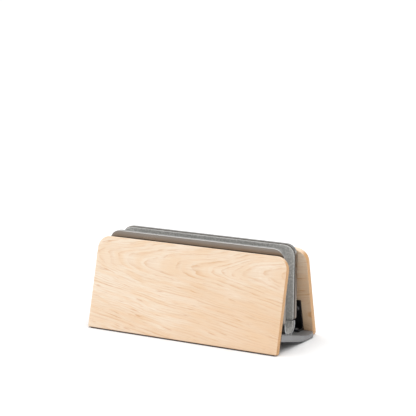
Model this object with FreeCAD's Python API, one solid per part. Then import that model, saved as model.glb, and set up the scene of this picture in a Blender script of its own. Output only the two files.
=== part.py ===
import FreeCAD, Part

import math
import os

from FreeCAD import Matrix, Placement, Rotation, Vector

# Upright laptop dock, in millimetres. X runs along the slot, Y from the front panel to the
# rear panel, Z up. The origin is on the desk, under the middle of the dock.
# Two maple panels lean in over a cast base. Between them two felt-lined jaws stand upright on
# sprung hinges, and a felt-lined saddle carries the laptop's lower edge.

# Maple panels
PANEL_WIDTH = 204.0
PANEL_LENGTH = 90.5  # along the slope
PANEL_THICKNESS = 6.0
PANEL_LEAN = 14.2  # degrees from upright
PANEL_TOP_RADIUS = 12.5
PANEL_BOTTOM_RADIUS = 1.5
PANEL_EASED_EDGE = 0.7
STANCE = 89.5  # between the lower outer edges of the two panels

# Foot strips under the panels and the base
FOOT_HEIGHT = 1.0
STRIP_DEPTH = 4.0
STRIP_LENGTH = 198.0
STRIP_SETBACK = 0.9  # from the panel's lower edge
PAD_DEPTH = 9.0
PAD_LENGTH = 192.0
PAD_SETBACK = 1.5  # from the base's rear edge
STRIP_EASED_EDGE = 0.3

# Cast base: square to the front panel, and flat behind
BASE_TOP = 19.0  # up the slope of the front panel
BASE_FRONT_THICKNESS = 6.2
BASE_REAR_THICKNESS = 3.8
BASE_FRONT_HALF = 102.3
BASE_REAR_HALF = 105.5
BASE_REAR_EDGE = 36.8
BASE_CORNER = 8.0
REAR_FLAT = 11.5  # how far the flat top reaches in from the rear edge
BASE_TOP_BEND = 56.0
BASE_ARCH_BEND = 112.0
BASE_ARCH_SLOPE = 0.242
BASE_LOWER_EDGE = 0.8  # radii along the rear edge
BASE_UPPER_EDGE = 1.4

# Slot, jaws and saddle
LAPTOP_GAP = 15.5  # between the felt faces at rest
FELT = 2.3
JAW_THICKNESS = 4.5
JAW_HALF = 94.5
JAW_BOTTOM = 21.0
JAW_TOP = 93.5
JAW_TOP_RADIUS = 11.0
JAW_BOTTOM_RADIUS = 2.0
JAW_EASED_EDGE = 0.5
FELT_INSET = 0.7
SADDLE_RADIUS = 11.4
SADDLE_SHEET = 1.2
SADDLE_UNDERSIDE = 7.4
SADDLE_RIM = 20.6
SADDLE_FELT_RIM = 20.3
SADDLE_END_GAP = 0.3

# Hinges
HINGE_Y = 14.9
HINGE_Z = 19.5
STATION = 45.0
KNUCKLE_RADIUS = 3.0
KNUCKLE_NEAR = 9.8
KNUCKLE_FAR = 16.8
LUG_RADIUS = 3.2
LUG_NEAR = 17.0
LUG_FAR = 20.0
NOTCH_HALF = 21.5
NOTCH_TOP = 24.0
WEB_TOP = 27.0
PIN_RADIUS = 1.5
PIN_HALF = 21.8
PIN_CHAMFER = 0.4
RUNNING_FIT = 0.05
CLIP_RADIUS = 2.9
CLIP_THICKNESS = 0.7
CLIP_MOUTH = 2.0
CLIP_PLAY = 0.1
FLANGE = 2.2
FLANGE_NEAR = 4.0  # the front hinge bracket's reach along the base, from the panel's inner face
FLANGE_FAR = 21.6
LUG_FOOT = 8.0
REAR_MARGIN = 0.6

# Torsion springs
WIRE = 0.9
COIL_RADIUS = 2.45
COIL_PITCH = 1.25
COIL_TURNS = 10
LEG_LENGTH = 14.0
LEG_LEAN = 7.0  # degrees
FRONT_FOOT_LENGTH = 2.9
REAR_FOOT_LENGTH = 13.6

# Screws, inserts, brackets and small parts
SHANK = 1.5
HEAD = 2.85
HEAD_HEIGHT = 1.65
HEAD_ROUND = 1.32
HEX_ACROSS = 2.0
HEX_DEPTH = 1.1
INSERT_RADIUS = 2.3
INSERT_LENGTH = 4.4
INSERT_PLAY = 0.1  # below an insert, in its bore
BRACKET = 2.0
BRACKET_X = 82.0
BRACKET_HALF = 10.0
BRACKET_FOOT = 17.0
BRACKET_HEIGHT = 18.0
INSERT_RISE = 8.0  # above the bracket's foot
SCREW_SPREAD = 5.5
FLANGE_SPREAD = 12.0
PANEL_SCREW_IN = 12.0  # from the front panel's inner face
PANEL_SCREW_REAR = 8.5  # from the base's rear edge
HINGE_SCREW_IN = 8.0
HINGE_SCREW_REAR = 4.0
SCREW_SPARE = 0.4  # how far a screw stops short of the end of its hole
RIVET_RADIUS = 1.6
RIVET_SPACING = 62.0
RIVET_SHORT = 0.5
BUMPER_RADIUS = 4.0
BUMPER_HEIGHT = 1.9
BUMPER_X = 70.0
BUMPER_UP = 80.0  # up the slope

SIN = math.sin(math.radians(PANEL_LEAN))
COS = math.cos(math.radians(PANEL_LEAN))
FELT_FACE = LAPTOP_GAP / 2
PLATE_FACE = FELT_FACE + FELT
PLATE_BACK = PLATE_FACE + JAW_THICKNESS
SADDLE_CENTRE = SADDLE_UNDERSIDE + SADDLE_RADIUS
BASE_REAR_TOP = FOOT_HEIGHT + BASE_REAR_THICKNESS
SIDES = {"left": -1, "right": 1}
OVERCUT = 5.0  # how far a cutting shape runs past what it cuts
SLIGHT = 0.01  # places closer than this are the same
X_AXIS = Vector(1, 0, 0)
Y_AXIS = Vector(0, 1, 0)
Z_AXIS = Vector(0, 0, 1)


def on_front(s, t, x=0.0):
    """The point s up the slope of the front panel and t in from its outer face."""
    return Vector(x, -STANCE / 2 + s * SIN + t * COS, FOOT_HEIGHT + s * COS - t * SIN)


def slope_at(t, z):
    """How far up the slope the height z is, t in from the outer face."""
    return (z - FOOT_HEIGHT + t * SIN) / COS


UP_SLOPE = on_front(1, 0) - on_front(0, 0)
INWARD = on_front(0, 1) - on_front(0, 0)


def to_rear(shape):
    """The same piece for the rear, mirrored."""
    return shape.mirror(Vector(0, 0, 0), Y_AXIS)


def rounded_wire(points, radii):
    """A closed wire through the points, with an arc of the given radius at each corner."""
    edges = []
    ends = []
    for i, corner in enumerate(points):
        before = (points[i - 1] - corner).normalize()
        after = (points[(i + 1) % len(points)] - corner).normalize()
        if radii[i] == 0:
            ends.append((corner, corner))
            continue
        half = before.getAngle(after) / 2
        start = corner + before * (radii[i] / math.tan(half))
        end = corner + after * (radii[i] / math.tan(half))
        inward = (before + after).normalize()
        middle = corner + inward * (radii[i] / math.sin(half) - radii[i])
        edges.append(Part.Arc(start, middle, end).toShape())
        ends.append((start, end))
    for i, (_, leave) in enumerate(ends):
        arrive = ends[(i + 1) % len(ends)][0]
        edges.append(Part.LineSegment(leave, arrive).toShape())
    return Part.Wire(Part.__sortEdges__(edges))


def prism(points, along, radii=None):
    """The solid made by pushing a closed outline of points along a vector."""
    wire = rounded_wire(points, radii or [0] * len(points))
    return Part.Face(wire).extrude(along)


def profile_along_x(points, x_from, x_to, radii=None):
    """A solid of constant section between two places along X. Its points are in the YZ plane."""
    moved = [point + X_AXIS * x_from for point in points]
    return prism(moved, X_AXIS * (x_to - x_from), radii)


def rod_along_x(y, z, radius, x_from, x_to):
    """A round rod parallel to X."""
    return Part.makeCylinder(radius, x_to - x_from, Vector(x_from, y, z), X_AXIS)


def ease(shape, radius, chosen):
    """Rounds the edges that the chosen test picks."""
    return shape.makeFillet(radius, [edge for edge in shape.Edges if chosen(edge)])


def flat_in(axis, value):
    """A test for the edges that lie in one plane across an axis, 0 for X, 1 for Y or 2 for Z."""
    def test(edge):
        box = edge.BoundBox
        low = (box.XMin, box.YMin, box.ZMin)[axis]
        high = (box.XMax, box.YMax, box.ZMax)[axis]
        return abs(low - value) < SLIGHT and abs(high - value) < SLIGHT
    return test


def towards(shape, place, direction):
    """Turns a piece made along +Z to a direction, and puts its origin at a place."""
    turned = shape.copy()
    turned.Placement = Placement(place, Rotation(Z_AXIS, direction))
    return turned


def upright_plate(half, bottom, top, bottom_radius, top_radius, y_from, y_to):
    """A plate standing across Y, with rounded corners."""
    corners = [Vector(-half, y_from, bottom), Vector(half, y_from, bottom)]
    corners += [Vector(half, y_from, top), Vector(-half, y_from, top)]
    radii = [bottom_radius, bottom_radius, top_radius, top_radius]
    return prism(corners, Vector(0, y_to - y_from, 0), radii)


def screw(place, direction, length):
    """A button-head socket screw. The head's seat is at place, and the shank runs along direction."""
    head = Part.makeCylinder(HEAD, HEAD_HEIGHT)
    head = ease(head, HEAD_ROUND, flat_in(2, HEAD_HEIGHT))
    corners = [Vector(HEX_ACROSS / math.sqrt(3), 0, HEAD_HEIGHT - HEX_DEPTH)]
    for _ in range(5):
        corners.append(Rotation(Z_AXIS, 60).multVec(corners[-1]))
    head = head.cut(prism(corners, Z_AXIS * HEX_DEPTH * 2))
    shank = Part.makeCylinder(SHANK, length, Vector(0, 0, -length))
    return towards(head.fuse(shank).removeSplitter(), place, direction * -1)


def hole(place, direction, depth, radius=SHANK):
    """A bore from place along direction, a little proud at its mouth."""
    return Part.makeCylinder(radius, depth + 1, place - direction, direction)


def tube(place, direction, length, outer, inner):
    """A round bush."""
    solid = Part.makeCylinder(outer, length, place, direction)
    return solid.cut(hole(place, direction, length + 1, inner))


def front_insert_places():
    """Where the brass inserts are in the front panel's inner face."""
    up = BASE_TOP + BRACKET + INSERT_RISE
    places = []
    for side in SIDES.values():
        for spread in (-SCREW_SPREAD, SCREW_SPREAD):
            places.append(on_front(up, PANEL_THICKNESS, side * BRACKET_X + spread))
    return places


def front_panel():
    """A maple panel with rounded upper corners, cut level at its foot and bored for inserts."""
    half = PANEL_WIDTH / 2
    corners = [Vector(-half, 0, 0), Vector(half, 0, 0)]
    corners += [Vector(half, PANEL_LENGTH, 0), Vector(-half, PANEL_LENGTH, 0)]
    radii = [PANEL_BOTTOM_RADIUS] * 2 + [PANEL_TOP_RADIUS] * 2
    panel = prism(corners, Vector(0, 0, -PANEL_THICKNESS), radii)
    panel = ease(panel, PANEL_EASED_EDGE, flat_in(2, 0))
    panel = ease(panel, PANEL_EASED_EDGE, flat_in(2, -PANEL_THICKNESS))
    stand = Matrix(
        1, 0, 0, 0,
        0, UP_SLOPE.y, -INWARD.y, -STANCE / 2,
        0, UP_SLOPE.z, -INWARD.z, FOOT_HEIGHT,
        0, 0, 0, 1,
    )
    panel.Placement = Placement(stand)
    corner = Vector(-PANEL_WIDTH, -STANCE, FOOT_HEIGHT - OVERCUT)
    below = Part.makeBox(2 * PANEL_WIDTH, STANCE, OVERCUT, corner)
    panel = panel.cut(below)
    for place in front_insert_places():
        panel = panel.cut(hole(place, INWARD * -1, INSERT_LENGTH + INSERT_PLAY, INSERT_RADIUS))
    return panel


def foot_strip():
    """A strip under the front panel, with its lower edges eased."""
    corner = Vector(-STRIP_LENGTH / 2, -STANCE / 2 + STRIP_SETBACK, 0)
    strip = Part.makeBox(STRIP_LENGTH, STRIP_DEPTH, FOOT_HEIGHT, corner)
    return ease(strip, STRIP_EASED_EDGE, flat_in(2, 0))


def base_pad():
    """The strip under the back of the base, with its lower edges eased."""
    corner = Vector(-PAD_LENGTH / 2, BASE_REAR_EDGE - PAD_DEPTH - PAD_SETBACK, 0)
    pad = Part.makeBox(PAD_LENGTH, PAD_DEPTH, FOOT_HEIGHT, corner)
    return ease(pad, STRIP_EASED_EDGE, flat_in(2, 0))


def base_profile():
    """The base's section: square to the front panel, then down to a flat rear foot."""
    front_top = on_front(BASE_TOP, PANEL_THICKNESS)
    front_low = on_front(BASE_TOP - BASE_FRONT_THICKNESS, PANEL_THICKNESS)
    top_bend = front_top.y + (front_top.z - BASE_REAR_TOP) / (SIN / COS)
    arch_bend = front_low.y + (front_low.z - FOOT_HEIGHT) / BASE_ARCH_SLOPE
    points = [
        front_low,
        Vector(0, arch_bend, FOOT_HEIGHT),
        Vector(0, BASE_REAR_EDGE, FOOT_HEIGHT),
        Vector(0, BASE_REAR_EDGE, BASE_REAR_TOP),
        Vector(0, top_bend, BASE_REAR_TOP),
        front_top,
    ]
    return points, [0, BASE_ARCH_BEND, BASE_LOWER_EDGE, BASE_UPPER_EDGE, BASE_TOP_BEND, 0]


def base_screw_places():
    """Where screws enter the base: (seat, direction into the base, thickness of what it holds)."""
    places = []
    for side in SIDES.values():
        for spread in (-SCREW_SPREAD, SCREW_SPREAD):
            x = side * BRACKET_X + spread
            front = on_front(BASE_TOP, PANEL_THICKNESS + PANEL_SCREW_IN, x)
            rear = Vector(x, BASE_REAR_EDGE - PANEL_SCREW_REAR, BASE_REAR_TOP)
            places.append((front, UP_SLOPE * -1, BRACKET))
            places.append((rear, Z_AXIS * -1, BRACKET))
        for spread in (-FLANGE_SPREAD, FLANGE_SPREAD):
            x = side * STATION + spread
            front = on_front(BASE_TOP, PANEL_THICKNESS + HINGE_SCREW_IN, x)
            rear = Vector(x, BASE_REAR_EDGE - HINGE_SCREW_REAR, BASE_REAR_TOP)
            places.append((front, UP_SLOPE * -1, FLANGE))
            places.append((rear, Z_AXIS * -1, FLANGE))
    return places


def rivet_places():
    """Places along X of the flush rivets under the saddle."""
    return [-RIVET_SPACING, 0.0, RIVET_SPACING]


def rivet_seat(x):
    """The top of a rivet, level with the inside of the saddle's channel."""
    return Vector(x, 0, SADDLE_UNDERSIDE + SADDLE_SHEET)


def base_casting():
    """The heavy cast base, with the saddle's channel and the bores for its screws and rivets."""
    points, radii = base_profile()
    base = profile_along_x(points, -BASE_REAR_HALF - OVERCUT, BASE_REAR_HALF + OVERCUT, radii)
    front = on_front(BASE_TOP, PANEL_THICKNESS).y - OVERCUT
    corners = [
        Vector(-BASE_FRONT_HALF, front, 0),
        Vector(BASE_FRONT_HALF, front, 0),
        Vector(BASE_REAR_HALF, BASE_REAR_EDGE, 0),
        Vector(-BASE_REAR_HALF, BASE_REAR_EDGE, 0),
    ]
    outline = prism(corners, Z_AXIS * STANCE, [0, 0, BASE_CORNER, BASE_CORNER])
    base = base.common(outline)
    half = JAW_HALF + SADDLE_END_GAP
    base = base.cut(rod_along_x(0, SADDLE_CENTRE, SADDLE_RADIUS, -half, half))
    for seat, direction, _ in base_screw_places():
        base = base.cut(hole(seat, direction, BASE_FRONT_THICKNESS + OVERCUT))
    for x in rivet_places():
        base = base.cut(hole(rivet_seat(x), Z_AXIS * -1, SADDLE_CENTRE, RIVET_RADIUS))
    return base


def trough_core(radius, top, half):
    """A bar along X, half round below the saddle's centre line and straight-sided above it."""
    width = Vector(-half, -radius, SADDLE_CENTRE)
    walls = Part.makeBox(2 * half, 2 * radius, top - SADDLE_CENTRE, width)
    below = Part.makeBox(2 * half, 2 * radius, radius, width - Z_AXIS * radius)
    lower = rod_along_x(0, SADDLE_CENTRE, radius, -half, half).common(below)
    return walls.fuse(lower).removeSplitter()


def channel(outer, inner, rim, half):
    """A U-shaped trough along X."""
    hollow = trough_core(inner, rim + 1, half + 1)
    return trough_core(outer, rim, half).cut(hollow)


def saddle_channel():
    """The formed sheet saddle that sits in the base's channel."""
    trough = channel(SADDLE_RADIUS, SADDLE_RADIUS - SADDLE_SHEET, SADDLE_RIM, JAW_HALF)
    for x in rivet_places():
        trough = trough.cut(hole(rivet_seat(x), Z_AXIS * -1, SADDLE_SHEET + 1, RIVET_RADIUS))
    return trough


def saddle_felt():
    """The felt that lines the saddle."""
    outer = SADDLE_RADIUS - SADDLE_SHEET
    return channel(outer, outer - FELT, SADDLE_FELT_RIM, JAW_HALF - FELT_INSET)


def saddle_rivets(base):
    """Flush rivets that hold the saddle down on the base, ending a little short of its underside."""
    rivets = []
    for x in rivet_places():
        near = Part.makeBox(BUMPER_RADIUS, BUMPER_RADIUS, SADDLE_CENTRE, Vector(x, 0, 0))
        under = base.common(near).BoundBox.ZMin + RIVET_SHORT
        seat = rivet_seat(x)
        rivets.append(Part.makeCylinder(RIVET_RADIUS, seat.z - under, seat, Z_AXIS * -1))
    return rivets


def jaw_plate():
    """The front jaw: a plate with eased edges, notched over its hinges, with knuckles on it."""
    plate = upright_plate(
        JAW_HALF, JAW_BOTTOM, JAW_TOP, JAW_BOTTOM_RADIUS, JAW_TOP_RADIUS, -PLATE_BACK, -PLATE_FACE
    )
    plate = ease(plate, JAW_EASED_EDGE, flat_in(1, -PLATE_BACK))
    for side in SIDES.values():
        corner = Vector(side * STATION - NOTCH_HALF, -PLATE_BACK - OVERCUT, JAW_BOTTOM - OVERCUT)
        height = NOTCH_TOP - JAW_BOTTOM + OVERCUT
        plate = plate.cut(Part.makeBox(2 * NOTCH_HALF, PLATE_BACK + OVERCUT, height, corner))
    for side in SIDES.values():
        for x_from in (-KNUCKLE_FAR, KNUCKLE_NEAR):
            plate = plate.fuse(knuckle(side * STATION + x_from))
    for side in SIDES.values():
        x = side * STATION
        radius = PIN_RADIUS + RUNNING_FIT
        plate = plate.cut(rod_along_x(-HINGE_Y, HINGE_Z, radius, x - LUG_FAR, x + LUG_FAR))
    return plate.removeSplitter()


def knuckle(x_from):
    """One barrel of the hinge and the web that joins it to the jaw."""
    x_to = x_from + KNUCKLE_FAR - KNUCKLE_NEAR
    barrel = rod_along_x(-HINGE_Y, HINGE_Z, KNUCKLE_RADIUS, x_from, x_to)
    near = -HINGE_Y + KNUCKLE_RADIUS
    far = -HINGE_Y - KNUCKLE_RADIUS
    web = [
        Vector(0, near, HINGE_Z),
        Vector(0, near, WEB_TOP),
        Vector(0, -PLATE_BACK, WEB_TOP),
        Vector(0, far, HINGE_Z),
    ]
    return barrel.fuse(profile_along_x(web, x_from, x_to))


def jaw_felt():
    """The felt bonded to the front jaw."""
    return upright_plate(
        JAW_HALF - FELT_INSET,
        JAW_BOTTOM,
        JAW_TOP - FELT_INSET,
        JAW_BOTTOM_RADIUS,
        JAW_TOP_RADIUS - FELT_INSET,
        -PLATE_FACE,
        -FELT_FACE,
    )


def lug_pair(outline, axis_y, x):
    """Two lugs of the same outline, one at each side of a hinge, with rounded heads."""
    lugs = []
    for x_from in (x - LUG_FAR, x + LUG_NEAR):
        x_to = x_from + LUG_FAR - LUG_NEAR
        head = rod_along_x(axis_y, HINGE_Z, LUG_RADIUS, x_from, x_to)
        lugs.append(profile_along_x(outline, x_from, x_to).fuse(head))
    return lugs


def finish_bracket(flange, lugs, axis_y, x):
    """Joins a flange and its lugs, and bores them for the pin and the screws."""
    bracket = flange.fuse(lugs)
    reach = LUG_FAR + OVERCUT
    bracket = bracket.cut(rod_along_x(axis_y, HINGE_Z, PIN_RADIUS, x - reach, x + reach))
    for seat, direction, depth in base_screw_places():
        bracket = bracket.cut(hole(seat - direction * depth, direction, depth + 1))
    return bracket.removeSplitter()


def front_hinge_bracket(x):
    """A low bracket on the sloping front of the base."""
    inner = PANEL_THICKNESS + FLANGE_NEAR
    outer = PANEL_THICKNESS + FLANGE_FAR
    flange = profile_along_x(
        [
            on_front(BASE_TOP, inner),
            on_front(BASE_TOP, outer),
            on_front(BASE_TOP + FLANGE, outer),
            on_front(BASE_TOP + FLANGE, inner),
        ],
        x - LUG_FAR,
        x + LUG_FAR,
    )
    axis = Vector(0, -HINGE_Y, HINGE_Z)
    outline = [
        on_front(BASE_TOP, outer - LUG_FOOT),
        on_front(BASE_TOP, outer),
        axis + INWARD * LUG_RADIUS,
        axis - INWARD * LUG_RADIUS,
    ]
    return finish_bracket(flange, lug_pair(outline, -HINGE_Y, x), -HINGE_Y, x)


def rear_hinge_bracket(x):
    """A tall bracket on the flat rear of the base, leaning in to the hinge."""
    near = BASE_REAR_EDGE - REAR_FLAT
    far = BASE_REAR_EDGE - REAR_MARGIN
    flange = Part.makeBox(2 * LUG_FAR, far - near, FLANGE, Vector(x - LUG_FAR, near, BASE_REAR_TOP))
    axis = Vector(0, HINGE_Y, HINGE_Z)
    across = Vector(0, far - HINGE_Y, BASE_REAR_TOP - HINGE_Z).normalize()
    across = Vector(0, -across.z, across.y) * LUG_RADIUS
    outline = [
        Vector(0, near, BASE_REAR_TOP),
        Vector(0, far, BASE_REAR_TOP),
        Vector(0, far, BASE_REAR_TOP + FLANGE),
        axis + across,
        axis - across,
    ]
    return finish_bracket(flange, lug_pair(outline, HINGE_Y, x), HINGE_Y, x)


def hinge_pin(y, x):
    """A straight pin with chamfered ends."""
    pin = rod_along_x(y, HINGE_Z, PIN_RADIUS, x - PIN_HALF, x + PIN_HALF)
    ends = [edge for edge in pin.Edges if edge.Length > 1 and edge.BoundBox.XLength < SLIGHT]
    return pin.makeChamfer(PIN_CHAMFER, ends)


def pin_clips(y):
    """Open retaining clips on both ends of the two pins of one jaw."""
    clips = []
    for side in SIDES.values():
        for end in (-1, 1):
            middle = side * STATION + end * (LUG_FAR + CLIP_PLAY + CLIP_THICKNESS / 2)
            x = middle - CLIP_THICKNESS / 2
            ring = tube(Vector(x, y, HINGE_Z), X_AXIS, CLIP_THICKNESS, CLIP_RADIUS, PIN_RADIUS)
            mouth = Part.makeBox(
                CLIP_THICKNESS * 3,
                CLIP_MOUTH,
                CLIP_RADIUS * 2,
                Vector(x - CLIP_THICKNESS, y - CLIP_MOUTH / 2, HINGE_Z),
            )
            clips.append(ring.cut(mouth))
    return clips


def torsion_spring(x, foot_length):
    """A coil round a front pin, in half turns that tilt to make its pitch.

    One leg rises close behind the jaw, just clear of its tilt, and the other runs down to its foot.
    """
    lean = math.radians(LEG_LEAN)
    up = Vector(0, math.sin(lean), math.cos(lean))
    out = Vector(0, -math.cos(lean), math.sin(lean))
    start = Vector(x - COIL_TURNS * COIL_PITCH / 2, -HINGE_Y, HINGE_Z)
    here = start + out * COIL_RADIUS
    runs = [Part.makeCylinder(WIRE / 2, LEG_LENGTH, here, up)]
    for k in range(2 * COIL_TURNS):
        turn = -1 if k % 2 == 0 else 1
        after = start + X_AXIS * (COIL_PITCH / 2 * (k + 1)) + out * (turn * COIL_RADIUS)
        middle = (here + after) * 0.5
        section = Part.Face(Part.Wire(Part.makeCircle(WIRE / 2, here, up)))
        runs.append(section.revolve(middle, (here - middle).cross(up) * turn, 180))
        here = after
    runs.append(Part.makeCylinder(WIRE / 2, foot_length, here, up * -1))
    return runs[0].multiFuse(runs[1:]).removeSplitter().Solids[0]


def front_panel_bracket(x):
    """A right-angle bracket between the base's sloping front and the front panel."""
    inner = PANEL_THICKNESS
    outline = [
        on_front(BASE_TOP, inner),
        on_front(BASE_TOP, inner + BRACKET_FOOT),
        on_front(BASE_TOP + BRACKET, inner + BRACKET_FOOT),
        on_front(BASE_TOP + BRACKET, inner + BRACKET),
        on_front(BASE_TOP + BRACKET_HEIGHT, inner + BRACKET),
        on_front(BASE_TOP + BRACKET_HEIGHT, inner),
    ]
    return bored_bracket(outline, x, front_insert_places(), INWARD * -1)


def rear_panel_bracket(x):
    """A bracket bent to the lean of the rear panel, on the base's flat rear."""
    inner = PANEL_THICKNESS
    top = BASE_REAR_TOP
    outline = [
        on_front(slope_at(inner, top), inner),
        Vector(0, -BASE_REAR_EDGE + REAR_FLAT, top),
        Vector(0, -BASE_REAR_EDGE + REAR_FLAT, top + BRACKET),
        on_front(slope_at(inner + BRACKET, top + BRACKET), inner + BRACKET),
        on_front(BASE_TOP + BRACKET_HEIGHT, inner + BRACKET),
        on_front(BASE_TOP + BRACKET_HEIGHT, inner),
    ]
    mirrored = [Vector(0, -point.y, point.z) for point in outline]
    places = [Vector(place.x, -place.y, place.z) for place in front_insert_places()]
    return bored_bracket(mirrored, x, places, Vector(0, INWARD.y, -INWARD.z))


def bored_bracket(outline, x, insert_places, into_panel):
    """Makes a bracket of one section, with its four screw holes."""
    bracket = profile_along_x(outline, x - BRACKET_HALF, x + BRACKET_HALF)
    for place in insert_places:
        bracket = bracket.cut(hole(place - into_panel * BRACKET, into_panel, BRACKET + 1))
    for seat, direction, depth in base_screw_places():
        bracket = bracket.cut(hole(seat - direction * depth, direction, depth + 1))
    return bracket


def front_panel_inserts():
    """Brass threaded inserts in the front panel."""
    return [
        tube(place, INWARD * -1, INSERT_LENGTH, INSERT_RADIUS, SHANK)
        for place in front_insert_places()
    ]


def front_panel_screws():
    """Screws through the brackets into the front panel's inserts."""
    screws = []
    for place in front_insert_places():
        length = BRACKET + INSERT_LENGTH - SCREW_SPARE
        screws.append(screw(place + INWARD * BRACKET, INWARD * -1, length))
    return screws


def base_screws(kind):
    """The screws that hold the panel brackets or the hinge brackets down on the base."""
    screws = []
    for seat, direction, depth in base_screw_places():
        on_bracket = abs(abs(seat.x) - BRACKET_X) < BRACKET_HALF
        if on_bracket == (kind == "panel"):
            length = depth + BASE_REAR_THICKNESS - SCREW_SPARE
            screws.append(screw(seat - direction * depth, direction, length))
    return screws


def stop_bumpers():
    """Domed stops on the front panel, which the jaw meets when it is wide open."""
    bumpers = []
    for side in SIDES.values():
        rise = (BUMPER_RADIUS ** 2 + BUMPER_HEIGHT ** 2) / (2 * BUMPER_HEIGHT)
        ball = Part.makeSphere(rise, Vector(0, 0, BUMPER_HEIGHT - rise))
        dome = ball.common(Part.makeCylinder(BUMPER_RADIUS + 1, BUMPER_HEIGHT + 1))
        place = on_front(BUMPER_UP, PANEL_THICKNESS, side * BUMPER_X)
        bumpers.append(towards(dome, place, INWARD))
    return bumpers


def save(name, *solids):
    """Writes one piece, or one group of like pieces, to its own STEP file."""
    shape = solids[0] if len(solids) == 1 else Part.makeCompound(list(solids))
    if not shape.isValid():
        raise ValueError(name + " is not a valid shape")
    shape.exportStep(os.path.join("parts", name + ".step"))
    print(f"{name:28s} {len(shape.Solids):2d} solids {shape.Volume / 1000:9.3f} cm3")


def save_pair(piece, *front):
    """Writes a front piece and its mirror image at the rear."""
    save("front_" + piece, *front)
    save("rear_" + piece, *[to_rear(solid) for solid in front])


def save_hinges():
    """Writes each hinge's bracket, pin and spring, and the clips of each jaw's pins."""
    for side, sign in SIDES.items():
        x = sign * STATION
        save(f"front_{side}_hinge_bracket", front_hinge_bracket(x))
        save(f"rear_{side}_hinge_bracket", rear_hinge_bracket(x))
        save(f"front_{side}_hinge_pin", hinge_pin(-HINGE_Y, x))
        save(f"rear_{side}_hinge_pin", hinge_pin(HINGE_Y, x))
        save(f"front_{side}_torsion_spring", torsion_spring(x, FRONT_FOOT_LENGTH))
        save(f"rear_{side}_torsion_spring", to_rear(torsion_spring(x, REAR_FOOT_LENGTH)))
    save_pair("pin_clips", *pin_clips(-HINGE_Y))


def save_brackets():
    """Writes the four panel brackets and every group of screws."""
    for side, sign in SIDES.items():
        save(f"front_{side}_panel_bracket", front_panel_bracket(sign * BRACKET_X))
        save(f"rear_{side}_panel_bracket", rear_panel_bracket(sign * BRACKET_X))
    save_pair("panel_inserts", *front_panel_inserts())
    save_pair("panel_screws", *front_panel_screws())
    save("panel_bracket_screws", *base_screws("panel"))
    save("hinge_bracket_screws", *base_screws("hinge"))


def main():
    os.makedirs("parts", exist_ok=True)
    base = base_casting()
    save("base_casting", base)
    save("base_foot_pad", base_pad())
    save("saddle_channel", saddle_channel())
    save("saddle_felt", saddle_felt())
    save("saddle_rivets", *saddle_rivets(base))
    save_pair("panel", front_panel())
    save_pair("foot_strip", foot_strip())
    save_pair("jaw_plate", jaw_plate())
    save_pair("jaw_felt", jaw_felt())
    save_pair("stop_bumpers", *stop_bumpers())
    save_hinges()
    save_brackets()


main()
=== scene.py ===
import math

import bmesh
import bpy
from mathutils import Matrix, Vector, noise


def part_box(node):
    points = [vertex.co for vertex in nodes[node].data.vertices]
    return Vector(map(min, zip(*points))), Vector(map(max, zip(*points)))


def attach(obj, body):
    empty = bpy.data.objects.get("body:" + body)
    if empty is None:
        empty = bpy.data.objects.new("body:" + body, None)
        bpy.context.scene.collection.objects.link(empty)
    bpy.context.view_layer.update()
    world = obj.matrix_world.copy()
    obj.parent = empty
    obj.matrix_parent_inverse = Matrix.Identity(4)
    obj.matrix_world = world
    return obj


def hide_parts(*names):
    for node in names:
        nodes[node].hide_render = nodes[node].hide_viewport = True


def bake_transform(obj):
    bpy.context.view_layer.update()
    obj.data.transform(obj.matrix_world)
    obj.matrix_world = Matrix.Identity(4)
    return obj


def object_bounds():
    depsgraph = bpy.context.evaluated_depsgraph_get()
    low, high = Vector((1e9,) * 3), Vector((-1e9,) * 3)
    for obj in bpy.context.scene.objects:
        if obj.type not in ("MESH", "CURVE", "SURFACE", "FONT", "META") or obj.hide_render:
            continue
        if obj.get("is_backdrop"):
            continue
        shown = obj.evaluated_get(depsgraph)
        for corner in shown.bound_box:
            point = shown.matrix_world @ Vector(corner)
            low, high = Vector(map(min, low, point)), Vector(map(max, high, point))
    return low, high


# The looks of an upright laptop dock: maple panels over a coated casting, and felt-lined
# jaws. Everything is in metres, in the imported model's own frame.

MM = 0.001

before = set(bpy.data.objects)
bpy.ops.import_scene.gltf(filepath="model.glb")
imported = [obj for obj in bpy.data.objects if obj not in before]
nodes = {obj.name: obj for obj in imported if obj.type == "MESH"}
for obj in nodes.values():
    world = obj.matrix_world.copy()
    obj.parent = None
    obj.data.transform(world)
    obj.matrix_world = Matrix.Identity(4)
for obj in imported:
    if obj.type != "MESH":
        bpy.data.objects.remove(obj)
cad_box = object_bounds()

# How far the maple panels' faces lean from upright
LEAN = math.radians(14.2)

# The corners that the jaw felts are cut to
FELT_TOP_RADIUS = 10.3 * MM
FELT_BOTTOM_RADIUS = 2.0 * MM
FELT_CUT = 0.6 * MM

# Wool felt's soft rims, and how deep its surface is matted by lumps and tufts, per metre
FELT_SOFT = 0.85 * MM
FELT_DEEP = 0.26 * MM
FELT_LUMPS = 170
FELT_TUFTS = 620

# How finely the felts are divided
FELT_COLUMNS = 150
JAW_FELT_ROWS = 54
JAW_FELT_CORNER = 6
SADDLE_FELT_ROWS = 30
SADDLE_FELT_CORNER = 3
RIM_STEPS = 5

# Rubber strips: rounded edges, ribs underneath, and ends that draw in
STRIP_EDGE = 0.3 * MM
STRIP_CORNER = 4
RIB_DEPTH = 0.12 * MM
RIB_PITCH = 1.0 * MM
STRIP_END = ((0.0, 0.8), (0.4, 0.93), (1.0, 1.0))  # edges in from the end, and the size there

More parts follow.
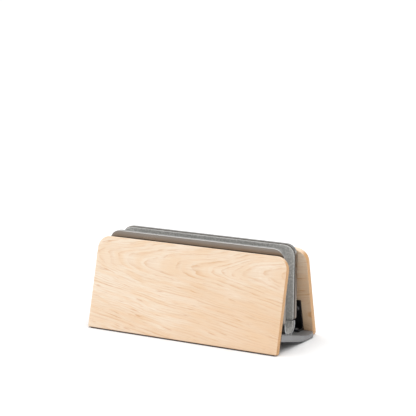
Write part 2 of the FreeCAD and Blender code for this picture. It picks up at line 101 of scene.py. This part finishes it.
# Torsion springs round the hinge pins
SPRING_WIRE = 0.9 * MM
SPRING_RADIUS = 2.45 * MM
SPRING_PITCH = 1.25 * MM
SPRING_TURNS = 10
SPRING_LEG = 14 * MM
SPRING_LEAN = math.radians(7)
SPRING_LEG_LEAN = math.radians(9.6)  # the leg that rises to the jaw's back
SPRING_FEET = {"front": 2.9 * MM, "rear": 13.6 * MM}
SPRING_TURN_STEPS = 28
SPRING_LEG_STEPS = 9
SPRING_FOOT_STEPS = 4
WIRE_SIDES = 10
WIRE_DOME = ((0.25, 0.85), (0.5, 0.45))  # radii past the wire's end, and the size there


def corners(node_name):
    """The lowest and highest corner of a CAD node, as vectors."""
    return [Vector(corner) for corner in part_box(node_name)]


# ---- Shaders ----


def rgb(red, green, blue):
    """A linear colour from its 0-255 display values."""
    channels = [value / 255 for value in (red, green, blue)]
    return tuple(v / 12.92 if v <= 0.04045 else ((v + 0.055) / 1.055) ** 2.4 for v in channels)


def scaled(colour, factor):
    """A colour that is lighter or darker by a factor."""
    return tuple(value * factor for value in colour)


class Shader:
    """A material, with short calls for the nodes in it."""

    def __init__(self, name):
        self.material = bpy.data.materials.new(name)
        self.material.use_nodes = True
        self.tree = self.material.node_tree
        self.tree.nodes.clear()
        self.surface = self.tree.nodes.new("ShaderNodeBsdfPrincipled")
        output = self.tree.nodes.new("ShaderNodeOutputMaterial")
        self.tree.links.new(self.surface.outputs[0], output.inputs["Surface"])
        place = self.tree.nodes.new("ShaderNodeTexCoord")
        self.place = place.outputs["Object"]
        self.normal = place.outputs["Normal"]

    def node(self, kind, values=(), **settings):
        """A node with its settings, and with values or outputs on its inputs by name or number."""
        made = self.tree.nodes.new(kind)
        for key, value in settings.items():
            setattr(made, key, value)
        for key, value in dict(values).items():
            self.feed(made.inputs[key], value)
        return made

    def feed(self, socket, value):
        if isinstance(value, bpy.types.NodeSocket):
            self.tree.links.new(value, socket)
        elif isinstance(value, tuple) and len(value) < len(socket.default_value):
            socket.default_value = (*value, 1)
        else:
            socket.default_value = value

    def math(self, operation, *values):
        return self.node("ShaderNodeMath", enumerate(values), operation=operation).outputs[0]

    def vector(self, operation, *values):
        return self.node("ShaderNodeVectorMath", enumerate(values), operation=operation).outputs

    def dot(self, vector, direction):
        return self.vector("DOT_PRODUCT", vector, direction)["Value"]

    def stretch(self, vector, factors):
        return self.vector("MULTIPLY", vector, factors)[0]

    def join(self, x, y, z):
        return self.node("ShaderNodeCombineXYZ", {0: x, 1: y, 2: z}).outputs[0]

    def noise(self, vector, scale, detail=3.0, roughness=0.5):
        values = {"Vector": vector, "Scale": scale, "Detail": detail, "Roughness": roughness}
        return self.node("ShaderNodeTexNoise", values).outputs[0]

    def cells(self, vector, scale):
        values = {"Vector": vector, "Scale": scale}
        return self.node("ShaderNodeTexVoronoi", values).outputs["Distance"]

    def range(self, value, low, high, to_low=0.0, to_high=1.0):
        values = enumerate((value, low, high, to_low, to_high))
        return self.node("ShaderNodeMapRange", values, interpolation_type="SMOOTHSTEP").outputs[0]

    def mix(self, factor, first, second, blend="MIX"):
        values = {0: factor, 6: first, 7: second}
        return self.node("ShaderNodeMix", values, data_type="RGBA", blend_type=blend).outputs[2]

    def bump(self, height, distance, strength=1.0):
        values = {"Height": height, "Distance": distance, "Strength": strength}
        self.feed(self.surface.inputs["Normal"], self.node("ShaderNodeBump", values).outputs[0])

    def finish(self, **values):
        """Sets the surface's sockets by name, and gives the material."""
        for key, value in values.items():
            self.feed(self.surface.inputs[key.replace("_", " ")], value)
        return self.material


# Maple's growth rings, as cones whose middle lies behind the board's face
RING_WIDTH = 2.3 * MM
RING_CONE = 0.14
RING_WANDER = 17 * MM
RING_RIPPLE = 3.4 * MM
PITH_BEHIND = 13 * MM

# Maple's colours, and a painted shade along the board's foot
MAPLE_PALE = rgb(244, 231, 214)
MAPLE_WARM = rgb(231, 197, 163)
MAPLE_BROAD_RING = rgb(231, 199, 164)
MAPLE_DARK_WISP = rgb(234, 196, 153)
MAPLE_LIGHT_WISP = rgb(249, 237, 222)
MAPLE_RING_LINE = rgb(214, 162, 108)
MAPLE_FIBRE = rgb(224, 190, 153)
MAPLE_FLECK = rgb(205, 146, 88)
MAPLE_PORE = rgb(190, 142, 96)
END_GRAIN = rgb(208, 160, 108)
END_RING_LINE = rgb(165, 112, 64)
END_PORE = rgb(138, 92, 52)
# Painted shade along the board's lowest edge, and the heights where it is full and where it is gone
FOOT_EDGE_SHADE = rgb(112, 74, 50)
FOOT_SHADE_FULL = 0.2 * MM
FOOT_SHADE_GONE = 1.0 * MM


def maple(name, side, pith, shift):
    """Plain-sawn maple, as a solid figure that its face and end grain both cut through.

    side is -1 for the front panel and 1 for the rear. pith is how far up the panel the tree's
    middle lies, and shift moves the figure along the board.
    """
    s = Shader(name)
    along = s.dot(s.place, (1, 0, 0))
    up_slope = (0, -side * math.sin(LEAN), math.cos(LEAN))
    inward = (0, -side * math.cos(LEAN), -math.sin(LEAN))
    low, high = corners("rear_panel")
    foot = (0, side * high.y, low.z)
    from_foot = s.vector("SUBTRACT", s.place, foot)[0]
    up = s.dot(from_foot, up_slope)
    depth = s.dot(from_foot, inward)
    board = s.join(s.math("ADD", along, shift), up, depth)

    # The growth rings are nested cones round the pith, bent by slow wander
    wander = s.noise(s.stretch(board, (6, 17, 17)), 1.0, 2.0)
    ripple = s.noise(s.stretch(board, (22, 95, 95)), 1.0, 3.0, 0.55)
    off_pith = s.math("SUBTRACT", up, pith)
    behind = s.math("ADD", depth, PITH_BEHIND)
    squares = [s.math("MULTIPLY", part, part) for part in (off_pith, behind)]
    radius = s.math("SQRT", s.math("ADD", *squares))
    cone = s.math("SUBTRACT", radius, s.math("MULTIPLY", along, RING_CONE))
    bent = s.math("ADD", cone, s.math("MULTIPLY", wander, RING_WANDER))
    bent = s.math("ADD", bent, s.math("MULTIPLY", ripple, RING_RIPPLE))

    # Each ring ends in a thin darker line; the rings differ in width and in strength
    season = s.noise(s.join(bent, 0.0, 0.0), 70, 2.0)
    phase = s.math("ADD", s.math("MULTIPLY", bent, 1 / RING_WIDTH), s.math("MULTIPLY", season, 5.0))
    part_way = s.math("FRACT", phase)
    rise = s.range(part_way, 0.35, 0.93)
    line = s.math("MULTIPLY", rise, s.range(part_way, 0.93, 1.0, 1.0, 0.0))
    line = s.math("MULTIPLY", s.math("MULTIPLY", line, line), s.range(season, 0.3, 0.7, 0.35, 1.0))
    strength = s.noise(s.stretch(board, (30, 150, 150)), 1.0, 3.0, 0.6)
    line = s.math("MULTIPLY", line, s.range(strength, 0.36, 0.64, 0.05, 1.0))
    broad = s.noise(s.join(bent, 0.0, 0.3), 95, 1.0)

    # Fine fibres along the board, small brown flecks, and slow changes of tone
    fibre = s.noise(s.stretch(board, (22, 900, 900)), 1.0, 4.0, 0.6)
    pores = s.noise(s.stretch(board, (120, 2600, 2600)), 1.0, 2.0, 0.5)
    tone = s.noise(s.stretch(board, (9, 30, 30)), 1.0, 2.0)
    with_rings = s.join(along, bent, depth)
    streak = s.noise(s.stretch(with_rings, (48, 430, 430)), 1.0, 2.0, 0.5)
    fleck = s.range(streak, 0.62, 0.76)
    wisp = s.noise(s.stretch(with_rings, (30, 260, 260)), 1.0, 3.0, 0.6)

    # The board is palest at its upper left and warms towards its lower right
    warmth = s.math("MULTIPLY_ADD", along, 3.6, s.math("MULTIPLY_ADD", up, -6.5, 0.62))
    warmth = s.math("ADD", warmth, s.range(tone, 0.25, 0.75, -0.25, 0.25))
    colour = s.mix(s.range(warmth, -0.2, 1.2), MAPLE_PALE, MAPLE_WARM)
    colour = s.mix(s.range(broad, 0.35, 0.75, 0.0, 0.36), colour, MAPLE_BROAD_RING)
    colour = s.mix(s.range(wisp, 0.4, 0.68, 0.0, 0.45), colour, MAPLE_DARK_WISP)
    colour = s.mix(s.range(wisp, 0.38, 0.24, 0.0, 0.5), colour, MAPLE_LIGHT_WISP)
    colour = s.mix(s.math("MULTIPLY", line, 0.72), colour, MAPLE_RING_LINE)
    colour = s.mix(s.range(fibre, 0.35, 0.75, 0.0, 0.34), colour, MAPLE_FIBRE)
    colour = s.mix(s.math("MULTIPLY", fleck, 0.62), colour, MAPLE_FLECK)
    colour = s.mix(s.range(pores, 0.62, 0.74, 0.0, 0.25), colour, MAPLE_PORE)

    # The end grain is darker and more orange, with open pores
    facing = s.math("ABSOLUTE", s.dot(s.normal, (1, 0, 0)))
    end = s.range(facing, 0.45, 0.85)
    dots = s.range(s.cells(s.stretch(board, (400, 3400, 3400)), 1.0), 0.12, 0.34, 1.0, 0.0)
    grain = s.mix(s.math("MULTIPLY", line, 0.7), END_GRAIN, END_RING_LINE)
    grain = s.mix(s.math("MULTIPLY", dots, 0.45), grain, END_PORE)
    colour = s.mix(end, colour, grain)

    # Painted shade: the lowest edge of the board is darkened, as if in shadow
    colour = s.mix(s.range(up, FOOT_SHADE_FULL, FOOT_SHADE_GONE, 0.85, 0.0), colour, FOOT_EDGE_SHADE)

    height = s.math("ADD", s.math("MULTIPLY", fibre, 0.5), s.math("MULTIPLY", pores, -0.5))
    height = s.math("SUBTRACT", height, s.math("MULTIPLY", line, 0.35))
    s.bump(height, 0.10 * MM, 0.2)
    rough = s.range(s.math("ADD", fibre, s.math("MULTIPLY", line, 0.2)), 0.3, 0.9, 0.42, 0.60)
    return s.finish(
        Base_Color=colour, Roughness=rough, Coat_Weight=0.12, Coat_Roughness=0.35,
        Specular_IOR_Level=0.4,
    )


def anodised(name, colour, edge, rough, grain=2600):
    """Bead-blasted, anodised aluminium: a fine even grain, slight smudges, and a painted highlight on
    faces turned upwards.
    """
    s = Shader(name)
    blast = s.noise(s.place, grain, 2.0, 0.6)
    smudge = s.noise(s.place, 24, 3.0, 0.55)
    # Painted highlight: faces turned upwards take the lighter edge colour, as if lit from above
    painted_top_highlight = s.range(s.dot(s.normal, (0, 0, 1)), 0.15, 0.55)
    tint = s.mix(painted_top_highlight, colour, edge)
    tint = s.mix(s.range(blast, 0.3, 0.7, 0.25, 0.0), tint, scaled(colour, 0.5))
    s.bump(blast, 0.03 * MM, 0.5)
    smudged = s.range(smudge, 0.3, 0.7, rough - 0.04, rough + 0.05)
    roughness = s.math("MULTIPLY_ADD", blast, 0.06, smudged)
    return s.finish(Base_Color=tint, Metallic=1.0, Roughness=roughness)


def powder_coat(name, colour):
    """A fine-textured powder coat over a casting."""
    s = Shader(name)
    peel = s.noise(s.place, 900, 2.0, 0.5)
    speck = s.cells(s.place, 2600)
    scuff = s.noise(s.place, 40, 4.0, 0.6)
    tint = s.mix(s.range(speck, 0.1, 0.5), scaled(colour, 1.18), colour)
    tint = s.mix(s.range(scuff, 0.35, 0.75, 0.0, 0.5), tint, scaled(colour, 0.86))
    s.bump(s.math("ADD", peel, s.math("MULTIPLY", speck, -0.35)), 0.10 * MM, 0.6)
    return s.finish(
        Base_Color=tint, Metallic=0.25, Roughness=s.range(scuff, 0.3, 0.7, 0.42, 0.54),
        Specular_IOR_Level=0.5,
    )


def felt_material(name):
    """Grey wool felt: matted fibres of lighter and darker wool, with a soft sheen."""
    s = Shader(name)
    mat = s.noise(s.place, 520, 5.0, 0.68)
    warp = s.node("ShaderNodeTexNoise", {"Vector": s.place, "Scale": 150, "Detail": 3.0}).outputs[1]
    bent = s.vector("MULTIPLY_ADD", warp, (14 * MM, 14 * MM, 14 * MM), s.place)[0]
    hair_one = s.noise(s.stretch(bent, (500, 4200, 4200)), 1.0, 2.0, 0.5)
    hair_two = s.noise(s.stretch(bent, (4200, 4200, 500)), 1.0, 2.0, 0.5)
    cloud = s.noise(s.place, 70, 3.0, 0.5)
    colour = s.mix(s.range(mat, 0.32, 0.70), rgb(158, 157, 154), rgb(204, 203, 199))
    colour = s.mix(s.range(hair_one, 0.58, 0.70, 0.0, 0.75), colour, rgb(226, 225, 221))
    colour = s.mix(s.range(hair_two, 0.60, 0.72, 0.0, 0.7), colour, rgb(122, 120, 118))
    colour = s.mix(s.range(cloud, 0.3, 0.7, 0.0, 0.35), colour, rgb(168, 167, 164))
    hairs = s.math("ADD", s.math("MULTIPLY", hair_one, 0.5), s.math("MULTIPLY", hair_two, 0.5))
    s.bump(s.math("ADD", mat, hairs), 0.5 * MM, 0.7)
    return s.finish(
        Base_Color=colour, Roughness=0.95, Sheen_Weight=0.35, Sheen_Roughness=0.5,
        Sheen_Tint=(0.9, 0.9, 0.9), Specular_IOR_Level=0.2,
    )


def rubber(name, colour):
    """Moulded elastomer with a dull, slightly dusty skin."""
    s = Shader(name)
    skin = s.noise(s.place, 1500, 3.0, 0.6)
    dust = s.noise(s.place, 60, 4.0, 0.6)
    tint = s.mix(s.range(dust, 0.4, 0.75, 0.0, 0.35), colour, tuple(value + 0.05 for value in colour))
    s.bump(skin, 0.05 * MM, 0.6)
    roughness = s.range(dust, 0.3, 0.7, 0.62, 0.78)
    return s.finish(Base_Color=tint, Roughness=roughness, Specular_IOR_Level=0.35)


def metal(name, colour, rough, brushed, wear, along=(0, 0, 1)):
    """Bare or plated metal, brushed along one way, with duller and brighter patches.

    brushed is how strongly the brush marks show, and wear how much the patches differ.
    """
    s = Shader(name)
    factors = tuple(260 if part else 5200 for part in along)
    marks = s.noise(s.stretch(s.place, factors), 1.0, 3.0, 0.6)
    patch = s.noise(s.place, 170, 4.0, 0.6)
    bright = tuple(min(1, value * 1.6 + 0.02) for value in colour)
    tint = s.mix(s.range(patch, 0.35, 0.7, 0.0, wear), colour, bright)
    tint = s.mix(s.range(marks, 0.35, 0.7, 0.0, brushed), tint, scaled(colour, 0.6))
    s.bump(marks, 0.02 * MM, brushed)
    roughness = s.range(patch, 0.3, 0.7, rough - 0.05, rough + 0.08)
    return s.finish(Base_Color=tint, Metallic=1.0, Roughness=roughness)


MATERIALS = {
    # The coat's grey is set a little darker, partly as painted shade from the laptop that the dock holds
    "base_coat": powder_coat("base_coat", rgb(139, 139, 140)),
    # The jaw metal's first colour is darker and warmer than bare aluminium, partly as painted shade and
    # a painted warm reflection of the maple beside it; the second colour of each anodised finish is its
    # painted highlight on faces turned upwards
    "jaw_metal": anodised("jaw_metal", rgb(139, 131, 124), rgb(198, 197, 194), 0.26),
    "saddle_sheet": anodised("saddle_sheet", rgb(196, 197, 198), rgb(214, 214, 214), 0.30, 3200),
    "wool_felt": felt_material("wool_felt"),
    "foot_rubber": rubber("foot_rubber", rgb(46, 44, 43)),
    "bumper_rubber": rubber("bumper_rubber", rgb(58, 58, 60)),
    "bracket_steel": metal("bracket_steel", rgb(74, 75, 78), 0.42, 0.25, 0.35, (1, 0, 0)),
    "pin_steel": metal("pin_steel", rgb(188, 188, 186), 0.24, 0.35, 0.2, (1, 0, 0)),
    "screw_steel": metal("screw_steel", rgb(88, 88, 90), 0.34, 0.2, 0.4, (0, 0, 1)),
    "spring_wire": metal("spring_wire", rgb(150, 150, 148), 0.28, 0.3, 0.3, (0, 0, 1)),
    "insert_brass": metal("insert_brass", rgb(214, 176, 100), 0.30, 0.2, 0.3, (0, 1, 0)),
}

PANELS = {
    "front_panel": maple("maple_front", -1, 71 * MM, 0.0),
    "rear_panel": maple("maple_rear", 1, 24 * MM, 0.9),
}


# ---- The CAD's own pieces ----

for name, node in nodes.items():
    node.data.materials[0] = PANELS.get(name) or MATERIALS[node.data.materials[0].name]


# ---- Felt and rubber ----


def new_piece(name, vertices, faces, body, slot, replaced):
    """A closed, smooth mesh that stands for a CAD node. It rides on body, unless that is None."""
    mesh = bpy.data.meshes.new(name)
    mesh.from_pydata(vertices, [], faces)
    shaped = bmesh.new()
    shaped.from_mesh(mesh)
    bmesh.ops.recalc_face_normals(shaped, faces=shaped.faces)
    shaped.to_mesh(mesh)
    shaped.free()
    mesh.shade_smooth()
    mesh.materials.append(MATERIALS[slot])
    piece = bpy.data.objects.new(name, mesh)
    bpy.context.scene.collection.objects.link(piece)
    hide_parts(replaced)
    if body:
        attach(piece, body)
    return piece


def corner_rows(half, length, low_radius, high_radius, count, corner_steps):
    """Rows (place along the length, half width there) of a sheet with rounded corners."""
    rows = []
    for k in range(corner_steps + 1):
        angle = math.pi / 2 * k / corner_steps
        rows.append((low_radius * (1 - math.cos(angle)), half - low_radius * (1 - math.sin(angle))))
    straight = length - low_radius - high_radius
    rows += [(low_radius + straight * k / count, half) for k in range(1, count)]
    for k in range(corner_steps + 1):
        angle = math.pi / 2 * k / corner_steps
        place = length - high_radius * (1 - math.sin(angle))
        rows.append((place, half - high_radius * (1 - math.cos(angle))))
    return rows


def ring_faces(rings, count):
    """The two end faces and the sides of a solid made of rings of count points each."""
    last = (rings - 1) * count
    faces = [tuple(range(count)), tuple(range(last, last + count))]
    for k in range(rings - 1):
        for i in range(count):
            a = k * count + i
            b = k * count + (i + 1) % count
            faces.append((a, b, b + count, a + count))
    return faces


def soft_sheet(rows, thickness, lay):
    """Vertices and faces of a sheet with rounded rims.

    rows are those of its flat faces, which stop short of the rim by the rim's radius. lay gives
    the place of a point (across, along, out) of the flat sheet.
    """
    last = len(rows) - 1
    columns = FELT_COLUMNS
    flat = [
        [(half * (2 * i / columns - 1), along) for i in range(columns + 1)] for along, half in rows
    ]
    ring = [(0, i) for i in range(columns)] + [(j, columns) for j in range(last)]
    ring += [(last, i) for i in range(columns, 0, -1)] + [(j, 0) for j in range(last, 0, -1)]
    around = [Vector(flat[j][i]) for j, i in ring]
    outward = []
    for k, _ in enumerate(around):
        run = around[(k + 1) % len(around)] - around[k - 1]
        outward.append(Vector((run.y, -run.x)).normalized())

    vertices = []
    faces = []

    def face_grid(out):
        first = len(vertices)
        for row in flat:
            vertices.extend(lay(across, along, out) for across, along in row)
        width = columns + 1
        for j in range(last):
            for i in range(columns):
                a = first + j * width + i
                faces.append((a, a + 1, a + 1 + width, a + width))
        return [first + j * width + i for j, i in ring]

    loops = [face_grid(thickness / 2)]
    angles = [math.pi / 2 * k / RIM_STEPS for k in range(1, RIM_STEPS + 1)]
    turns = [(math.sin(a), 1 - math.cos(a), 1) for a in angles]
    turns += [(beyond, in_from, -1) for beyond, in_from, _ in reversed(turns)]
    for beyond, in_from, side in turns:
        first = len(vertices)
        out = side * (thickness / 2 - FELT_SOFT * in_from)
        for point, way in zip(around, outward):
            across, along = point + way * (FELT_SOFT * beyond)
            vertices.append(lay(across, along, out))
        loops.append(list(range(first, len(vertices))))
    loops.append(face_grid(-thickness / 2))
    for near, far in zip(loops, loops[1:]):
        for k, _ in enumerate(near):
            after = (k + 1) % len(near)
            faces.append((near[k], far[k], far[after], near[after]))
    return vertices, faces


def matted(point):
    """How far in a felt's surface lies at a point: soft lumps and finer tufts."""
    lumps = noise.noise(Vector(point) * FELT_LUMPS) * 0.5 + 0.5
    tufts = noise.noise(Vector(point) * FELT_TUFTS) * 0.5 + 0.5
    return FELT_DEEP * (0.6 * lumps + 0.4 * tufts)


def jaw_felt(end, side):
    """The felt on one jaw, cut to the jaw's outline. side is -1 for the front jaw and 1 for the rear."""
    node_name = end + "_jaw_felt"
    low, high = corners(node_name)
    thickness = high.y - low.y
    tall = high.z - low.z
    middle = (low.y + high.y) / 2
    rows = corner_rows(
        high.x - FELT_SOFT,
        tall - 2 * FELT_SOFT,
        FELT_BOTTOM_RADIUS - FELT_SOFT,
        FELT_TOP_RADIUS - FELT_SOFT,
        JAW_FELT_ROWS,
        JAW_FELT_CORNER,
    )

    def lay(across, along, out):
        height = low.z + FELT_SOFT + along
        sunk = matted((across, height, side * out)) * (out / thickness + 0.5)
        return (across, middle + side * (sunk - out), height)

    vertices, faces = soft_sheet(rows, thickness, lay)
    felt = new_piece(end + "_felt_lining", vertices, faces, end + "_jaw", "wool_felt", node_name)


def saddle_felt():
    """The felt bent into the saddle: two short walls and a half round below them."""
    low, high = corners("saddle_felt")
    jaw_low, jaw_high = corners("front_jaw_felt")
    thickness = jaw_high.y - jaw_low.y
    centre = low.z + high.y
    wall = high.z - centre
    middle_radius = high.y - thickness / 2
    girth = math.pi * middle_radius
    length = girth + 2 * wall
    rows = corner_rows(
        high.x - FELT_SOFT,
        length - 2 * FELT_SOFT,
        FELT_CUT,
        FELT_CUT,
        SADDLE_FELT_ROWS,
        SADDLE_FELT_CORNER,
    )

    def lay(across, along, out):
        reach = along + FELT_SOFT
        sunk = matted((across, reach, out)) * (0.5 - out / thickness)
        radius = middle_radius + out + sunk
        angle = min(max(reach - wall, 0), girth) / middle_radius
        rise = max(wall - reach, reach - wall - girth, 0)
        return (across, -radius * math.cos(angle), centre + rise - radius * math.sin(angle))

    vertices, faces = soft_sheet(rows, thickness, lay)
    felt = new_piece("saddle_felt_lining", vertices, faces, "frame", "wool_felt", "saddle_felt")


def strip(node_name):
    """A moulded rubber strip with rounded edges and shallow ribs along its underside."""
    low, high = corners(node_name)
    middle = (low.y + high.y) / 2
    half = (high.y - low.y) / 2
    edge = STRIP_EDGE
    corner = []
    for k in range(STRIP_CORNER + 1):
        angle = math.pi / 2 * k / STRIP_CORNER
        corner.append((half - edge + edge * math.sin(angle), high.z - edge + edge * math.cos(angle)))
    outline = corner + [(half, low.z + edge), (half - edge / 2, low.z)]
    ribs = round(2 * half / RIB_PITCH)
    step = (2 * half - edge) / ribs
    for k in range(ribs):
        at = half - edge / 2 - k * step
        groove = (at - step * 0.5, low.z + RIB_DEPTH)
        outline += [(at - step * 0.35, low.z), groove, (at - step * 0.65, low.z)]
    outline += [(-half + edge / 2, low.z), (-half, low.z + edge)]
    outline += [(-y, z) for y, z in reversed(corner)]
    centre = (low.z + high.z) / 2
    ends = [(low.x + edge * inset, grown) for inset, grown in STRIP_END]
    ends += [(high.x - edge * inset, grown) for inset, grown in reversed(STRIP_END)]
    vertices = []
    for x, grown in ends:
        vertices += [(x, middle + y * grown, centre + (z - centre) * grown) for y, z in outline]
    faces = ring_faces(len(ends), len(outline))
    new_piece(node_name + "_moulding", vertices, faces, "frame", "foot_rubber", node_name)


def wire(path, radius):
    """Vertices and faces of a round wire with domed ends. path has (place, heading) pairs."""
    rings = [(place, heading, 1.0) for place, heading in path]
    for lift, grown in WIRE_DOME:
        (start, first_heading), (finish, last_heading) = path[0], path[-1]
        rings.insert(0, (start - first_heading * (radius * lift), first_heading, grown))
        rings.append((finish + last_heading * (radius * lift), last_heading, grown))
    vertices = []
    for place, heading, grown in rings:
        across = (Vector((1, 0, 0)) - heading * heading.x).normalized()
        other = heading.cross(across)
        for k in range(WIRE_SIDES):
            angle = 2 * math.pi * k / WIRE_SIDES
            spoke = across * math.cos(angle) + other * math.sin(angle)
            vertices.append(place + spoke * (radius * grown))
    return vertices, ring_faces(len(rings), WIRE_SIDES)


def torsion_spring(end, hand, foot_length):
    """A spring's wire: down its leg, round the pin, and down to its foot."""
    low, high = corners(f"{end}_{hand}_hinge_pin")
    pin = (low + high) / 2
    side = math.copysign(1, pin.y)
    up = Vector((0, -side * math.sin(SPRING_LEAN), math.cos(SPRING_LEAN)))
    out = Vector((0, side * math.cos(SPRING_LEAN), math.sin(SPRING_LEAN)))
    leg = Vector((0, -side * math.sin(SPRING_LEG_LEAN), math.cos(SPRING_LEG_LEAN)))
    length = Vector((SPRING_PITCH * SPRING_TURNS, 0, 0))
    start = pin - length / 2 + out * SPRING_RADIUS
    finish = start + length
    path = [
        (start + leg * (SPRING_LEG * (1 - k / SPRING_LEG_STEPS)), -leg) for k in range(SPRING_LEG_STEPS)
    ]
    around = SPRING_TURN_STEPS * SPRING_TURNS
    climb = length / (2 * math.pi * SPRING_RADIUS * SPRING_TURNS)
    for k in range(around + 1):
        angle = 2 * math.pi * SPRING_TURNS * k / around
        spoke = out * math.cos(angle) - up * math.sin(angle)
        heading = climb - out * math.sin(angle) - up * math.cos(angle)
        middle = pin + length * (k / around - 0.5)
        path.append((middle + spoke * SPRING_RADIUS, heading.normalized()))
    path += [
        (finish - up * (foot_length * k / SPRING_FOOT_STEPS), -up)
        for k in range(1, SPRING_FOOT_STEPS + 1)
    ]
    vertices, faces = wire(path, SPRING_WIRE / 2)
    name = f"{end}_{hand}_spring_wire"
    piece = new_piece(name, vertices, faces, None, "spring_wire", f"{end}_{hand}_torsion_spring")
    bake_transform(piece)


jaw_felt("front", -1)
jaw_felt("rear", 1)
saddle_felt()
for strip_name in ("front_foot_strip", "rear_foot_strip", "base_foot_pad"):
    strip(strip_name)
for end_name, foot_length in SPRING_FEET.items():
    torsion_spring(end_name, "left", foot_length)
    torsion_spring(end_name, "right", foot_length)


# ---- Floor, light and camera ----


FLOOR_HALF = 40
FLOOR_PAPER = (0.93, 0.93, 0.93)
WORLD_STRENGTH = 1.7
WORLD_LEVELS = ((0.15, 0.60), (0.25, 0.13), (0.45, 0.22), (0.85, 1.0))  # height, brightness
LAMPS = {
    "overhead": ((-0.2, 0.3, 1.5), (0, 0, 0.03), (1.4, 1.1), 5),
    "front_fill": ((-1.3, -1.6, 0.8), (-0.03, 0, 0.07), (0.9, 0.9), 3.8),
}


def lamp(name, place, target, size, power):
    """A soft rectangular light at place, facing target."""
    light = bpy.data.lights.new(name, "AREA")
    light.shape = "RECTANGLE"
    light.size, light.size_y = size
    light.energy = power
    lit = bpy.data.objects.new(name, light)
    lit.location = place
    lit.rotation_euler = (Vector(target) - Vector(place)).to_track_quat("-Z", "Y").to_euler()
    bpy.context.scene.collection.objects.link(lit)


floor_mesh = bpy.data.meshes.new("floor")
bmesh_floor = bmesh.new()
bmesh.ops.create_grid(bmesh_floor, x_segments=1, y_segments=1, size=FLOOR_HALF)
bmesh_floor.to_mesh(floor_mesh)
bmesh_floor.free()
floor = bpy.data.objects.new("floor", floor_mesh)
bpy.context.scene.collection.objects.link(floor)
paper = Shader("floor_paper")
floor_mesh.materials.append(
    paper.finish(Base_Color=FLOOR_PAPER, Roughness=0.9, Specular_IOR_Level=0.1)
)
floor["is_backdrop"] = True

# The studio's ceiling is one big soft light; its walls are dim above a pale skirting
world = bpy.data.worlds.new("studio")
world.use_nodes = True
studio = world.node_tree
heights = studio.nodes.new("ShaderNodeSeparateXYZ")
shade = studio.nodes.new("ShaderNodeValToRGB")
direction = studio.nodes.new("ShaderNodeTexCoord").outputs["Generated"]
backdrop = studio.nodes["Background"]
studio.links.new(direction, heights.inputs[0])
studio.links.new(heights.outputs["Z"], shade.inputs[0])
studio.links.new(shade.outputs[0], backdrop.inputs["Color"])
backdrop.inputs["Strength"].default_value = WORLD_STRENGTH
steps = shade.color_ramp.elements
for height, level in WORLD_LEVELS:
    step = steps.new(height)
    step.color = (level, level, level, 1)
steps.remove(steps[-1])
steps[0].color = steps[1].color
bpy.context.scene.world = world

for lamp_name, settings in LAMPS.items():
    lamp(lamp_name, *settings)

bpy.context.scene.view_settings.view_transform = "Standard"

# The camera stands in front and to the right, above the dock, and looks down at it
CAMERA_PLACE = (647.527 * MM, -1203.073 * MM, 382.406 * MM)
CAMERA_YAW = math.radians(28.053)
CAMERA_TILT = math.radians(10.814)
CAMERA_ROLL = math.radians(-0.397)
CAMERA_LENS = 125.856
CAMERA_SENSOR = 36

lens = bpy.data.cameras.new("camera")
lens.lens = CAMERA_LENS
lens.sensor_width = CAMERA_SENSOR
camera = bpy.data.objects.new("camera", lens)
forward = Vector((
    -math.sin(CAMERA_YAW) * math.cos(CAMERA_TILT),
    math.cos(CAMERA_YAW) * math.cos(CAMERA_TILT),
    -math.sin(CAMERA_TILT),
))
level = Vector((math.cos(CAMERA_YAW), math.sin(CAMERA_YAW), 0))
down = forward.cross(level)
right = level * math.cos(CAMERA_ROLL) + down * math.sin(CAMERA_ROLL)
down = down * math.cos(CAMERA_ROLL) - level * math.sin(CAMERA_ROLL)
turn = Matrix((right, -down, -forward)).transposed().to_4x4()
camera.matrix_world = Matrix.Translation(CAMERA_PLACE) @ turn
bpy.context.scene.collection.objects.link(camera)
bpy.context.scene.camera = camera

boxes = {"cad": cad_box, "visual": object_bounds()}
{key: [list(corner) for corner in box] for key, box in boxes.items()}
